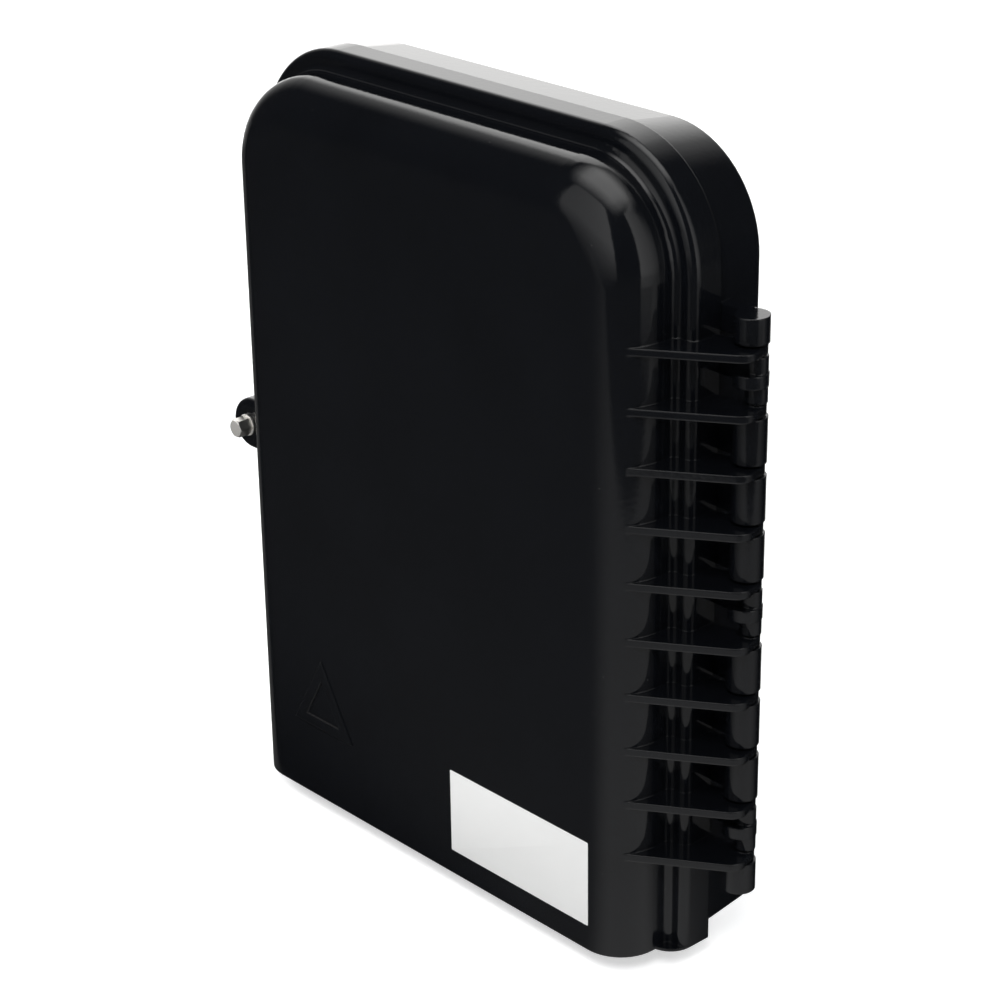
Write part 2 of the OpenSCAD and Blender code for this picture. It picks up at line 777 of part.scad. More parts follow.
// Rounded plate outline, w by h, from its lower left corner
module rounded_plate(w, h, r) {
    translate([r, 0]) square([w - 2 * r, h]);
    translate([0, r]) square([w, h - 2 * r]);
    for (x = [r, w - r]) for (y = [r, h - r]) translate([x, y]) circle(r = r);
}

module tray_eye(low) {
    difference() {
        union() {
            translate([tray_axis_x, low + tray_eye_h, tray_axis_z]) rotate([90, 0, 0])
                cylinder(r = tray_eye_r, h = tray_eye_h);
            translate([tray_right_x - tray_wall, low, tray_z])
                cube([tray_axis_x - tray_right_x + tray_wall, tray_eye_h, tray_t]);
        }
        translate([tray_axis_x, low + tray_eye_h + over, tray_axis_z]) rotate([90, 0, 0])
            cylinder(r = tray_pin_r + pin_fit, h = tray_eye_h + 2 * over);
    }
}

// Quarter walls that keep the fibres' bends wide
module fibre_ring(x) {
    translate([x, ring_y, tray_z + tray_t / 2]) difference() {
        linear_extrude(tray_t / 2 + tray_rim_h) difference() {
            circle(r = ring_r);
            circle(r = ring_r - tray_wall);
        }
        for (a = [45, 135]) rotate([0, 0, a]) translate([-ring_r - over, -ring_r / 4, tray_t])
            cube([2 * (ring_r + over), ring_r / 2, tray_rim_h + over]);
    }
}

module swing_tray() {
    color([0.9, 0.9, 0.88]) upright() {
        difference() {
            translate([tray_left_x, tray_low_y, tray_z]) difference() {
                linear_extrude(tray_t + tray_rim_h) rounded_plate(tray_w, tray_h, tray_round);
                translate([tray_wall, tray_wall, tray_t]) linear_extrude(tray_rim_h + over)
                    rounded_plate(tray_w - 2 * tray_wall, tray_h - 2 * tray_wall, tray_round - tray_wall);
            }
            // Slots that the fibres pass up through, beside the hinge
            for (y = [splitter_y - ring_r * 0.75, ring_y - ring_r * 1.56])
                translate([tray_right_x - 3 * tray_wall - tray_rim_h, y, tray_z - over])
                    linear_extrude(tray_t + tray_rim_h + 2 * over)
                        rounded_plate(tray_rim_h, ring_r, tray_rim_h / 4);
            // Notches in the lower rim for the patch leads
            for (i = [0 : adapter_count - 1])
                translate([adapter_x(i) - adapter_w / 4, tray_low_y - over, tray_floor_z])
                    cube([adapter_w / 2, tray_wall + 2 * over, tray_rim_h + over]);
            // Holes for the panel's screws
            for (s = [-1, 1]) translate([s * panel_screw_x, panel_y - panel_foot / 2, tray_z - over])
                cylinder(r = panel_screw_r + pin_fit, h = tray_t + 2 * over);
        }
        tray_eye(tray_eye_low_y);
        tray_eye(tray_eye_high_y);
        fibre_ring(-ring_x);
        fibre_ring(ring_x);
        // Clips on both sides of the splitter
        for (s = [-1, 1]) for (x = [-splitter_l / 4, splitter_l / 4]) {
            y = splitter_y + s * (splitter_w / 2 + seat + clip_t / 2) - clip_t / 2;
            translate([x - clip_t, y, tray_z + tray_t / 2])
                cube([2 * clip_t, clip_t, tray_t / 2 + splitter_h + floor_gap]);
        }
    }
}

module tray_pins() {
    color([0.6, 0.61, 0.62]) upright() for (low = [post_low_y + seat, tray_eye_high_y])
        translate([tray_axis_x, low + tray_pin_l, tray_axis_z]) rotate([90, 0, 0])
            cylinder(r = tray_pin_r, h = tray_pin_l);
}

module splice_comb(y) {
    color([0.2, 0.33, 0.62]) upright() translate([-comb_l / 2, y - comb_w / 2, tray_floor_z + floor_gap]) {
        cube([comb_l, comb_w, comb_base_t]);
        for (i = [0 : slot_count]) for (x = [0, comb_l * 0.36, comb_l * 0.72])
            translate([x, i * slot_pitch, 0]) cube([comb_l * 0.28, comb_fin_t, comb_base_t + comb_fin_h]);
    }
}

module splice_comb_1() splice_comb(comb_1_y);

module splice_comb_2() splice_comb(comb_2_y);

module splitter_module() {
    color([0.75, 0.77, 0.79]) upright()
        translate([-splitter_l / 2, splitter_y - splitter_w / 2, tray_floor_z + floor_gap]) difference() {
            cube([splitter_l, splitter_w, splitter_h]);
            // Recessed ends where the fibres leave
            for (x = [-over, splitter_l - splitter_h / 2])
                translate([x, splitter_w / 4, splitter_h / 4])
                    cube([splitter_h / 2 + over, splitter_w / 2, splitter_h / 2]);
        }
}

function adapter_x(i) = (i - (adapter_count - 1) / 2) * adapter_pitch;

module adapter_panel() {
    color([0.82, 0.83, 0.84]) upright() difference() {
        translate([-panel_w / 2, 0, tray_floor_z + floor_gap]) {
            translate([0, panel_y - panel_t, 0]) cube([panel_w, panel_t, panel_h]);
            translate([0, panel_y - panel_foot, 0]) cube([panel_w, panel_foot, panel_t]);
        }
        for (i = [0 : adapter_count - 1])
            translate([adapter_x(i), panel_y - panel_t - over, adapter_z])
                translate([-adapter_w / 2 - seat, 0, -adapter_d / 2 - seat])
                    cube([adapter_w + 2 * seat, panel_t + 2 * over, adapter_d + 2 * seat]);
        for (s = [-1, 1]) translate([s * panel_screw_x, panel_y - panel_foot / 2, tray_floor_z])
            cylinder(r = panel_screw_r + pin_fit, h = panel_t + over);
    }
}

module panel_screws() {
    foot_z = tray_floor_z + floor_gap + panel_t;
    color([0.7, 0.7, 0.7]) upright() for (s = [-1, 1])
        translate([s * panel_screw_x, panel_y - panel_foot / 2, 0]) {
            translate([0, 0, tray_z]) cylinder(r = panel_screw_r, h = foot_z - tray_z);
            translate([0, 0, foot_z])
                cylinder(r1 = panel_screw_r * 1.9, r2 = panel_screw_r * 1.5, h = panel_screw_r);
        }
}

// Square-ended adapter that passes through the panel, with a flange above it and a socket at each end
module sc_adapter(i) {
    color([0.1, 0.52, 0.3]) upright()
        translate([adapter_x(i), panel_y - panel_t / 2, adapter_z]) difference() {
            union() {
                translate([-adapter_w / 2, -adapter_l / 2, -adapter_d / 2])
                    cube([adapter_w, adapter_l, adapter_d]);
                translate([-adapter_w / 2, panel_t / 2 + seat, -adapter_d / 2 - flange_over])
                    cube([adapter_w, flange_t, adapter_d + 2 * flange_over]);
            }
            for (y = [-adapter_l / 2 - over, adapter_l / 2 - port_l])
                translate([-port_w / 2, y, -port_d / 2]) cube([port_w, port_l + over, port_d]);
            translate([0, adapter_l, 0]) rotate([90, 0, 0])
                cylinder(r = port_w * 0.17, h = 2 * adapter_l);
        }
}

module sc_adapter_1() sc_adapter(0);
module sc_adapter_2() sc_adapter(1);
module sc_adapter_3() sc_adapter(2);
module sc_adapter_4() sc_adapter(3);
module sc_adapter_5() sc_adapter(4);
module sc_adapter_6() sc_adapter(5);
module sc_adapter_7() sc_adapter(6);
module sc_adapter_8() sc_adapter(7);

// Dust caps at one end of every adapter; way is 1 for the end above the panel and -1 for the one below
module dust_caps(way) {
    color([0.92, 0.93, 0.93]) upright() for (i = [0 : adapter_count - 1])
        translate([adapter_x(i), panel_y - panel_t / 2 + way * (adapter_l / 2), adapter_z]) {
            low = way > 0 ? seat : -seat - cap_l / 4;
            stub = way > 0 ? -cap_stub_l : -seat;
            grip = way > 0 ? seat + cap_l / 8 : -seat - cap_l;
            translate([-adapter_w / 2 + seat, low, -adapter_d / 2 + seat])
                cube([adapter_w - 2 * seat, cap_l / 4, adapter_d - 2 * seat]);
            translate([-port_w / 2 + seat, stub, -port_d / 2 + seat])
                cube([port_w - 2 * seat, cap_stub_l + seat, port_d - 2 * seat]);
            translate([-port_w / 5, grip, -port_d / 2]) cube([port_w * 0.4, cap_l * 7 / 8, port_d]);
        }
}

module dust_caps_front() dust_caps(-1);

module dust_caps_rear() dust_caps(1);

// Open spool with a foot and a lip in four pieces, for spare fibre
module fibre_spool(x) {
    color([0.85, 0.86, 0.86]) upright() translate([x, spool_y, base_wall + seat]) difference() {
        union() {
            cylinder(r = spool_r + spool_h / 2, h = spool_foot_t);
            cylinder(r = spool_r, h = spool_h);
            intersection() {
                translate([0, 0, spool_h - spool_foot_t])
                    cylinder(r = spool_r + spool_h / 3, h = spool_foot_t);
                for (a = [0, 90]) rotate([0, 0, a]) translate([-spool_r * 2, -spool_r / 4, 0])
                    cube([spool_r * 4, spool_r / 2, spool_h]);
            }
        }
        translate([0, 0, -over]) cylinder(r = spool_r - spool_wall, h = spool_h + 2 * over);
    }
}

module fibre_spool_left() fibre_spool(-spool_x);

module fibre_spool_right() fibre_spool(spool_x);

// Saddle over a feeder cable
module cable_clamp(i) {
    color([0.2, 0.2, 0.21]) upright() translate([gland_x(i), clamp_y, entry_z]) difference() {
        translate([-clamp_w / 2, -clamp_l / 2, seat]) {
            cube([clamp_w, clamp_l, saddle_t]);
            translate([clamp_w / 2 - feeder_r - saddle_t, 0, 0])
                cube([2 * (feeder_r + saddle_t), clamp_l, feeder_r + saddle_t - seat]);
        }
        translate([0, clamp_l / 2 + over, 0]) rotate([90, 0, 0])
            cylinder(r = feeder_r, h = clamp_l + 2 * over);
        for (s = [-1, 1]) translate([s * clamp_screw_x, 0, -over])
            cylinder(r = clamp_screw_r + pin_fit, h = feeder_r + saddle_t + over);
    }
}

module cable_clamp_1() cable_clamp(0);

module cable_clamp_2() cable_clamp(1);

module pan_screw(r, shank) {
    translate([0, 0, -shank]) cylinder(r = r, h = shank + over);
    cylinder(r1 = r * 1.9, r2 = r * 1.5, h = r * 1.1);
}

module clamp_screws() {
    color([0.7, 0.7, 0.7]) upright() for (i = [0, 1]) for (s = [-1, 1])
        translate([gland_x(i) + s * clamp_screw_x, clamp_y, entry_z + saddle_t + 2 * seat])
            pan_screw(clamp_screw_r, entry_z - base_wall);
}

// Steel strap that holds a feeder cable's stiff centre on its post
module strength_clamp(i) {
    color([0.68, 0.69, 0.7]) upright()
        translate([gland_x(i), strength_y, base_wall / 2 + strength_h + seat]) difference() {
            union() {
                cylinder(r = strength_h / 2, h = clamp_screw_r);
                translate([-strength_h / 2, 0, 0]) cube([strength_h, strength_h * 0.9, clamp_screw_r]);
            }
            translate([0, 0, -over]) cylinder(r = clamp_screw_r + pin_fit, h = clamp_screw_r + 2 * over);
        }
}

module strength_clamp_1() strength_clamp(0);

module strength_clamp_2() strength_clamp(1);

module strength_screws() {
    color([0.7, 0.7, 0.7]) upright() for (i = [0, 1])
        translate([gland_x(i), strength_y, base_wall / 2 + strength_h + 2 * seat + clamp_screw_r])
            pan_screw(clamp_screw_r, strength_h + clamp_screw_r - base_wall);
}

// Turns a piece so that its z runs down out of the base's underside at an entry
module entry(x) {
    upright() translate([x, base_bottom, entry_z]) rotate([90, 0, 0]) children();
}

// Threaded gland body: hexagon under the base, thread up through the wall and down into the nut
module gland_body(i) {
    color([0.1, 0.1, 0.11]) entry(gland_x(i)) difference() {
        union() {
            translate([0, 0, seat]) cylinder(r = gland_hex_r, h = gland_flange_t, $fn = 6);
            translate([0, 0, -gland_inner_l]) cylinder(r = gland_r, h = gland_inner_l + gland_flange_t);
            translate([0, 0, gland_flange_t]) cylinder(r = gland_r - seat, h = gland_thread_l);
        }
        translate([0, 0, -gland_inner_l - over])
            cylinder(r = feeder_r, h = gland_inner_l * 3 + gland_thread_l);
    }
}

module gland_body_1() gland_body(0);

module gland_body_2() gland_body(1);

module gland_locknut(i) {
    color([0.12, 0.12, 0.13]) entry(gland_x(i))
        translate([0, 0, -base_wall - seat - locknut_t]) difference() {
            cylinder(r = locknut_r, h = locknut_t, $fn = 6);
            translate([0, 0, -over]) cylinder(r = gland_r + pin_fit, h = locknut_t + 2 * over);
        }
}

module gland_locknut_1() gland_locknut(0);

module gland_locknut_2() gland_locknut(1);

// Rubber ring between the body's end and the nut's cap
module gland_seal(i) {
    color([0.2, 0.2, 0.2]) entry(gland_x(i)) difference() {
        translate([0, 0, gland_end_z + seat])
            cylinder(r = gland_r - 2 * seat, h = gland_seal_l);
        cylinder(r = feeder_r, h = gland_end_z + gland_nut_l);
    }
}

module gland_seal_1() gland_seal(0);

module gland_seal_2() gland_seal(1);

module gland_nut(i) {
    color([0.1, 0.1, 0.11]) entry(gland_x(i)) translate([0, 0, gland_nut_z]) difference() {
        union() {
            cylinder(r = gland_hex_r, h = gland_nut_l * 0.55, $fn = 6);
            cylinder(r = gland_hex_r * cos(30), h = gland_nut_l * 0.8);
            translate([0, 0, gland_nut_l * 0.8])
                cylinder(r1 = gland_hex_r * cos(30), r2 = gland_r, h = gland_nut_l * 0.2);
        }
        translate([0, 0, -over])
            cylinder(r = gland_r - seat + pin_fit, h = gland_nut_l - gland_cap_t + over);
        cylinder(r = feeder_r, h = gland_nut_l + over);
    }
}

module gland_nut_1() gland_nut(0);

module gland_nut_2() gland_nut(1);

// Rubber grommet in a drop port, pierced for one thin drop cable
module drop_grommet(i) {
    if (i < drop_count) color([0.17, 0.17, 0.18]) entry(drop_x(i)) difference() {
        union() {
            translate([0, 0, seat])
                cylinder(r1 = drop_r + grommet_lip, r2 = drop_r * 0.8, h = grommet_t * 1.5);
            translate([0, 0, -base_wall - 2 * seat]) cylinder(r = drop_r - seat, h = base_wall + 4 * seat);
            translate([0, 0, -base_wall - seat - grommet_t])
                cylinder(r = drop_r + grommet_lip / 2, h = grommet_t);
        }
        translate([0, 0, -base_d]) cylinder(r = drop_r * 0.3, h = 2 * base_d);
    }
}

module drop_grommet_1() drop_grommet(0);
module drop_grommet_2() drop_grommet(1);
module drop_grommet_3() drop_grommet(2);
module drop_grommet_4() drop_grommet(3);
module drop_grommet_5() drop_grommet(4);
module drop_grommet_6() drop_grommet(5);
module drop_grommet_7() drop_grommet(6);
module drop_grommet_8() drop_grommet(7);

base_shell();
lid_shell();
rim_gasket();
blank_label();
hinge_pin();
lock_bolt();
lock_washer();
bolt_retainer();
lock_insert();
swing_tray();
tray_pins();
splice_comb_1();
splice_comb_2();
splitter_module();
adapter_panel();
panel_screws();
sc_adapter_1();
sc_adapter_2();
sc_adapter_3();
sc_adapter_4();
sc_adapter_5();
sc_adapter_6();
sc_adapter_7();
sc_adapter_8();
dust_caps_front();
dust_caps_rear();
fibre_spool_left();
fibre_spool_right();
cable_clamp_1();
cable_clamp_2();
clamp_screws();
strength_clamp_1();
strength_clamp_2();
strength_screws();
gland_body_1();
gland_body_2();
gland_locknut_1();
gland_locknut_2();
gland_seal_1();
gland_seal_2();
gland_nut_1();
gland_nut_2();
drop_grommet_1();
drop_grommet_2();
drop_grommet_3();
drop_grommet_4();
drop_grommet_5();
drop_grommet_6();
drop_grommet_7();
drop_grommet_8();
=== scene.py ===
"""Looks of a wall-mounted fibre splice closure: a ribbed lid, its base, and what they hold."""
import math

import bpy
from mathutils import Matrix, Vector


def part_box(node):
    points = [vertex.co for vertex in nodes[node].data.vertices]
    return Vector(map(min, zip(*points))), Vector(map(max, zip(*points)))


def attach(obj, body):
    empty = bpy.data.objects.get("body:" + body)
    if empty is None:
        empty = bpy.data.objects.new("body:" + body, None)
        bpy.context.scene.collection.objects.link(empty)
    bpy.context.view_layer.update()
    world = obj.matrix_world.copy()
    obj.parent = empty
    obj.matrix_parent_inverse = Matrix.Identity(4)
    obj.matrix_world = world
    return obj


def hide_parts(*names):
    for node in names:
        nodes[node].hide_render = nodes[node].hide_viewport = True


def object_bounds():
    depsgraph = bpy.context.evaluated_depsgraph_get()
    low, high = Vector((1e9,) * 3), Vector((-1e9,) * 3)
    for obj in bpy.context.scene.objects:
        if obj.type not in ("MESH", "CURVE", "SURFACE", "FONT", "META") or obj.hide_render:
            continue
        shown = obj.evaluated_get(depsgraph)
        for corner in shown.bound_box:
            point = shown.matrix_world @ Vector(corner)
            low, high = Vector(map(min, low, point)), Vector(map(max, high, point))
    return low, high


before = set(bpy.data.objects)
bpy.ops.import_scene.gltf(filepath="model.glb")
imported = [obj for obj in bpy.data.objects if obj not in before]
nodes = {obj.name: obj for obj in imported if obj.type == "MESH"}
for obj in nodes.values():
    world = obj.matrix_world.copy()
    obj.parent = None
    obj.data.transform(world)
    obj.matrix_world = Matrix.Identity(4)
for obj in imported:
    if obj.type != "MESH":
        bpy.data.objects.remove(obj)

cad_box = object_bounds()
scene = bpy.context.scene


# Camera: it stands off the hinge side, above the closure, and looks at it through a long lens.
# Its place and turn were solved from the photograph's perspective.
camera_place = Vector((0.81000, -0.75881, 0.46654))
camera_right = Vector((0.67616, 0.73664, -0.01306))
camera_up = Vector((-0.28829, 0.28085, 0.91543))
camera_back = camera_right.cross(camera_up)
camera_data = bpy.data.cameras.new("camera")
camera_data.lens = 97.75
camera_data.sensor_width = 36
camera = bpy.data.objects.new("camera", camera_data)
scene.collection.objects.link(camera)
camera.matrix_world = Matrix((camera_right, camera_up, camera_back)).transposed().to_4x4()
camera.location = camera_place
scene.camera = camera


# Floor and backdrop: a pale floor under the closure, and a white surround that lights it softly.
# Both turn plain white to the camera, and to gloss wherever the tent below doesn't hide them.
scene.view_settings.view_transform = "Standard"
floor_gap = 0.0005
floor_z = cad_box[0].z - floor_gap
floor_white = 0.55


def maths(tree, operation, first, *others):
    """The result of one operation on values taken in turn, any of which may be a number."""
    for other in others:
        step = tree.nodes.new("ShaderNodeMath")
        step.operation = operation
        for value, socket in zip((first, other), step.inputs):
            if isinstance(value, (int, float)):
                socket.default_value = value
            else:
                tree.links.new(value, socket)
        first = step.outputs[0]
    return first


def sees_background(tree):
    """1 for the rays that should see the plain white background, and 0 for the rest."""
    path = tree.nodes.new("ShaderNodeLightPath")
    return maths(tree, "MAXIMUM", *[
        path.outputs[ray] for ray in ("Is Camera Ray", "Is Glossy Ray", "Is Transmission Ray")
    ])


world = bpy.data.worlds.new("studio")
world.use_nodes = True
scene.world = world
surround = world.node_tree
soft_white = surround.nodes["Background"]
soft_white.inputs["Color"].default_value = (0.95, 0.975, 1.0, 1)
soft_white.inputs["Strength"].default_value = 0.42
plain_white = surround.nodes.new("ShaderNodeBackground")
plain_white.inputs["Color"].default_value = (1, 1, 1, 1)
choice = surround.nodes.new("ShaderNodeMixShader")
surround.links.new(sees_background(surround), choice.inputs["Fac"])
surround.links.new(soft_white.outputs[0], choice.inputs[1])
surround.links.new(plain_white.outputs[0], choice.inputs[2])
surround.links.new(choice.outputs[0], surround.nodes["World Output"].inputs["Surface"])

bpy.ops.object.select_all(action="DESELECT")
bpy.ops.mesh.primitive_plane_add(size=9, location=(0, 0, floor_z))
floor = bpy.context.object
floor.name = "floor"
paint = bpy.data.materials.new("pale_floor")
paint.use_nodes = True
paint_tree = paint.node_tree
matt = paint_tree.nodes["Principled BSDF"]
matt.inputs["Base Color"].default_value = (0.86, 0.86, 0.86, 1)
matt.inputs["Roughness"].default_value = 0.9
matt.inputs["Specular IOR Level"].default_value = 0.0
glow = paint_tree.nodes.new("ShaderNodeEmission")
glow.inputs["Color"].default_value = (1, 1, 1, 1)
whitening = maths(paint_tree, "MULTIPLY", sees_background(paint_tree), floor_white)
paint_tree.links.new(whitening, glow.inputs["Strength"])
both = paint_tree.nodes.new("ShaderNodeAddShader")
paint_tree.links.new(matt.outputs[0], both.inputs[0])
paint_tree.links.new(glow.outputs[0], both.inputs[1])
paint_tree.links.new(both.outputs[0], paint_tree.nodes["Material Output"].inputs["Surface"])
floor.data.materials.append(paint)


# Studio light: a large softbox over the camera, one over the lock side, and a weaker one behind.
# They don't show in gloss. A glow from low on the lock side lights the bolt and its washer alone,
# and shows in their bright metal.
def softbox(name, place, aim, width, height, watts, shows_in_gloss=False):
    """A flat rectangular lamp that faces aim."""
    data = bpy.data.lights.new(name, "AREA")
    data.shape = "RECTANGLE"
    data.size = width
    data.size_y = height
    data.energy = watts
    lamp = bpy.data.objects.new(name, data)
    scene.collection.objects.link(lamp)
    lamp.location = place
    lamp.rotation_euler = (Vector(aim) - Vector(place)).to_track_quat("-Z", "Y").to_euler()
    lamp.visible_glossy = shows_in_gloss
    return lamp


softbox("over_camera", place=(0.95, -1.15, 1.65), aim=(0, 0, 0), width=0.9, height=0.9, watts=26)
softbox(
    "over_lock_side", place=(-1.6, -0.9, 1.5), aim=(0, 0, 0.05), width=0.8, height=1.2, watts=22
)
softbox("behind", place=(0.4, 1.7, 1.1), aim=(0, 0, 0), width=1.0, height=0.6, watts=12)
metal_glow = softbox(
    "metal_glow", place=(-0.95, -0.82, -0.4), aim=(-0.13, 0, 0), width=1.4, height=1.4, watts=32,
    shows_in_gloss=True,
)
metal_glow.data.use_shadow = False
bright_metal = bpy.data.collections.new("bright_metal")
metal_glow.light_linking.receiver_collection = bright_metal
for name in ("lock_bolt", "lock_washer"):
    bright_metal.objects.link(nodes[name])


# Tent: gloss sees a black tent with a bright sweep behind, and boxes above, in front and beside.
# Only glossy rays see it, so the black moulding mirrors these soft shapes and nothing else.
def hide_from_all_but_gloss(sheet):
    """Leaves a sheet of the tent to glossy rays alone."""
    sheet.visible_camera = False
    sheet.visible_diffuse = False
    sheet.visible_transmission = False
    sheet.visible_shadow = False


def ramp(tree, value, start, end, low=0, high=1, smooth=True):
    """A value that runs from low at start to high at end, and stays there."""
    run = tree.nodes.new("ShaderNodeMapRange")
    run.interpolation_type = "SMOOTHSTEP" if smooth else "LINEAR"
    run.inputs["From Min"].default_value = start
    run.inputs["From Max"].default_value = end
    run.inputs["To Min"].default_value = low
    run.inputs["To Max"].default_value = high
    tree.links.new(value, run.inputs["Value"])
    return run.outputs["Result"]


def light_ink(name, clear=False):
    """An ink that glows, its tree, and the socket for how strongly it glows."""
    ink = bpy.data.materials.new(name)
    ink.use_nodes = True
    tree = ink.node_tree
    light = tree.nodes.new("ShaderNodeEmission")
    light.inputs["Color"].default_value = (1, 0.995, 0.985, 1)
    shown = light
    if clear:
        shown = tree.nodes.new("ShaderNodeAddShader")
        tree.links.new(light.outputs[0], shown.inputs[0])
        tree.links.new(tree.nodes.new("ShaderNodeBsdfTransparent").outputs[0], shown.inputs[1])
    tree.links.new(shown.outputs[0], tree.nodes["Material Output"].inputs["Surface"])
    return ink, tree, light.inputs["Strength"]


def card(name, middle, aim, width, height, strength, fades, left_share=1, right_share=1):
    """A glowing card that faces aim, and fades towards its left, right, low and high edges."""
    bpy.ops.object.select_all(action="DESELECT")
    bpy.ops.mesh.primitive_plane_add(size=1)
    sheet = bpy.context.object
    sheet.name = name
    sheet.scale = (width, height, 1)
    sheet.rotation_euler = (Vector(aim) - Vector(middle)).to_track_quat("Z", "Y").to_euler()
    sheet.location = middle
    ink, tree, glow_strength = light_ink(name, clear=True)
    spread = tree.nodes.new("ShaderNodeTexCoord")
    split = tree.nodes.new("ShaderNodeSeparateXYZ")
    tree.links.new(spread.outputs["UV"], split.inputs[0])
    across, up, _ = split.outputs
    left, right, bottom, top = fades
    faded = maths(
        tree, "MULTIPLY", strength,
        ramp(tree, across, 0, 1, left_share, right_share, smooth=False),
        ramp(tree, across, 0, left),
        ramp(tree, across, 1, 1 - right),
        ramp(tree, up, 0, bottom, smooth=False),
        ramp(tree, up, 1, 1 - top),
    )
    tree.links.new(faded, glow_strength)
    sheet.data.materials.append(ink)
    hide_from_all_but_gloss(sheet)


bpy.ops.object.select_all(action="DESELECT")
bpy.ops.mesh.primitive_uv_sphere_add(radius=7, segments=24, ring_count=12)
tent = bpy.context.object
tent.name = "tent"
tent_ink, _, tent_glow = light_ink("tent")
tent_glow.default_value = 0.025
tent.data.materials.append(tent_ink)
hide_from_all_but_gloss(tent)

card(
    "back_sweep", middle=(-0.932, 1.111, 1.05), aim=(0, 0, 1.05), width=1.5, height=2.5,
    strength=1.75, fades=(0.3, 0.4, 0.02, 0.2),
)
card(
    "lock_side_sweep", middle=(-1.407, 0.351, 1.05), aim=(0, 0, 1.05), width=1.15, height=2.5,
    strength=0.62, fades=(1.0, 0.15, 0.02, 0.2),
)
card(
    "hinge_side_sweep", middle=(-0.227, 1.432, 1.05), aim=(0, 0, 1.05), width=1.2, height=2.5,
    strength=0.95, fades=(0.45, 1.0, 0.02, 0.2),
)
card(
    "overhead_box", middle=(0.17, 0.08, 1.6), aim=(0.17, 0.08, 0), width=2.1, height=2.1,
    strength=2.3, fades=(0.35, 0.35, 0.35, 0.35),
)
card(
    "front_box", middle=(0.072, -0.609, 0.516), aim=(0.11, -0.06, 0.516), width=0.80, height=1.13,
    strength=1.0, fades=(0.06, 0.1, 0.3, 0.05), right_share=0.5,
)
card(
    "side_box", middle=(0.629, 0.13, 0.43), aim=(0.11, -0.06, 0.43), width=0.58, height=1.14,
    strength=1.05, fades=(0.42, 0.08, 0.2, 0.05), left_share=0.25,
)


# Lit floor: gloss sees the floor bright in front of the hinge side, and fading with distance.
# It ends at a straight edge, is dim towards the lock side, and runs into the sweep behind.
lit_corner = (0.11, -0.06, 0)
lit_strength = 0.56
fall_per_metre = 1.6
edge_facing = (0.848, -0.530, 0)
edge_bright = 0.45
edge_dim = 0.52
share_past_edge = 0.2
share_towards_lock = 0.17
lock_side_strength = 0.09
everywhere_strength = 0.012
lit_floor_lift = 0.002
bpy.ops.object.select_all(action="DESELECT")
bpy.ops.mesh.primitive_plane_add(size=9.4, location=(0, 0, floor_z + lit_floor_lift))
lit_floor = bpy.context.object
lit_floor.name = "lit_floor"
lit_ink, lit_tree, lit_glow = light_ink("lit_floor")
spot = lit_tree.nodes.new("ShaderNodeTexCoord")
from_corner = lit_tree.nodes.new("ShaderNodeVectorMath")
from_corner.operation = "SUBTRACT"
from_corner.inputs[1].default_value = lit_corner
lit_tree.links.new(spot.outputs["Object"], from_corner.inputs[0])
split = lit_tree.nodes.new("ShaderNodeSeparateXYZ")
lit_tree.links.new(from_corner.outputs[0], split.inputs[0])
x, y, _ = split.outputs
distance = lit_tree.nodes.new("ShaderNodeVectorMath")
distance.operation = "LENGTH"
lit_tree.links.new(from_corner.outputs[0], distance.inputs[0])
ahead = lit_tree.nodes.new("ShaderNodeVectorMath")
ahead.operation = "DOT_PRODUCT"
ahead.inputs[1].default_value = edge_facing
lit_tree.links.new(from_corner.outputs[0], ahead.inputs[0])


def sector(turn, dark, bright, still_bright, dark_again):
    """Light by direction, in degrees: it rises from dark to bright, and falls until dark again."""
    return maths(
        lit_tree, "MULTIPLY",
        ramp(lit_tree, turn, math.radians(dark), math.radians(bright)),
        ramp(lit_tree, turn, math.radians(dark_again), math.radians(still_bright)),
    )


turn = maths(lit_tree, "ARCTAN2", y, x)
turn_from_left = maths(
    lit_tree, "ARCTAN2", maths(lit_tree, "MULTIPLY", y, -1), maths(lit_tree, "MULTIPLY", x, -1)
)
fall = maths(lit_tree, "MULTIPLY", distance.outputs["Value"], fall_per_metre)
lit_sector = maths(
    lit_tree, "MULTIPLY",
    maths(lit_tree, "DIVIDE", lit_strength, maths(lit_tree, "ADD", fall, 1)),
    sector(turn, dark=-179, bright=-150, still_bright=10, dark_again=65),
    ramp(lit_tree, turn, math.radians(-135), math.radians(-65), low=share_towards_lock),
    ramp(lit_tree, ahead.outputs["Value"], edge_dim, edge_bright, low=share_past_edge),
)
sweep_sector = sector(turn, dark=88, bright=104, still_bright=122, dark_again=142)
lock_side_sector = maths(
    lit_tree, "MULTIPLY", lock_side_strength,
    sector(turn_from_left, dark=-48, bright=-30, still_bright=4, dark_again=6),
)
lit_all = maths(lit_tree, "ADD", lit_sector, sweep_sector, lock_side_sector, everywhere_strength)
lit_tree.links.new(lit_all, lit_glow)
lit_floor.data.materials.append(lit_ink)
hide_from_all_but_gloss(lit_floor)


# Base: one tapered black moulding on the wall, with the hinge's knuckles and the rear lock ear.
# Its gloss is that of a polished mould, with a faint flow of tone and a few specks of dust.
def wandering(tree, scale, low, high, detail=2):
    """A value that wanders from low to high over the piece."""
    place = tree.nodes.new("ShaderNodeTexCoord")
    noise = tree.nodes.new("ShaderNodeTexNoise")
    noise.inputs["Scale"].default_value = scale
    noise.inputs["Detail"].default_value = detail
    tree.links.new(place.outputs["Object"], noise.inputs["Vector"])
    return ramp(tree, noise.outputs["Fac"], 0.3, 0.7, low, high, smooth=False)


